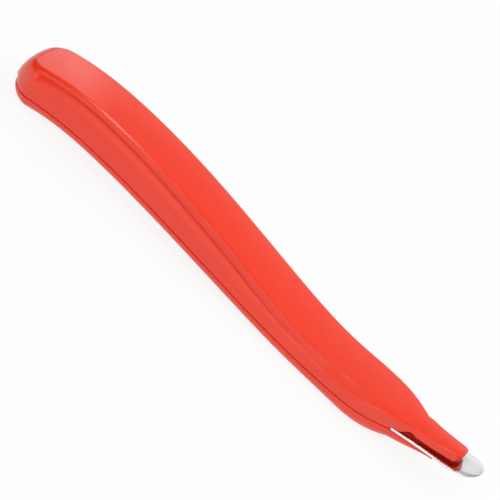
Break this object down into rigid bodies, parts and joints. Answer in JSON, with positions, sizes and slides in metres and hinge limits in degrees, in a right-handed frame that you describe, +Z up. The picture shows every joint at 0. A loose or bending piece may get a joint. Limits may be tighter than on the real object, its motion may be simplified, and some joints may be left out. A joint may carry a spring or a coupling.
{
  "type": "staple remover",
  "caption": "Push-style hand tool: long S-curved two-shell plastic handle with a narrow nose clamping a round-ended flat steel tongue.",
  "frame": {"origin": "on the resting plane, below the middle of the bounding box", "axes": "+X along the tool from the butt to the blade tip, +Y across it, +Z up with the tool lying on its heel and its butt"},
  "size_m": [0.166, 0.0192, 0.0178],
  "materials": {
    "handle_plastic": "glossy moulded ABS, red",
    "tongue_steel": "polished stainless strip",
    "magnet_ferrite": "sintered ferrite, dark grey, hidden in the handle"
  },
  "bodies": {
    "root": {"upper_shell": "handle_plastic", "lower_shell": "handle_plastic", "blade": "tongue_steel", "magnet": "magnet_ferrite"}
  },
  "joints": []
}
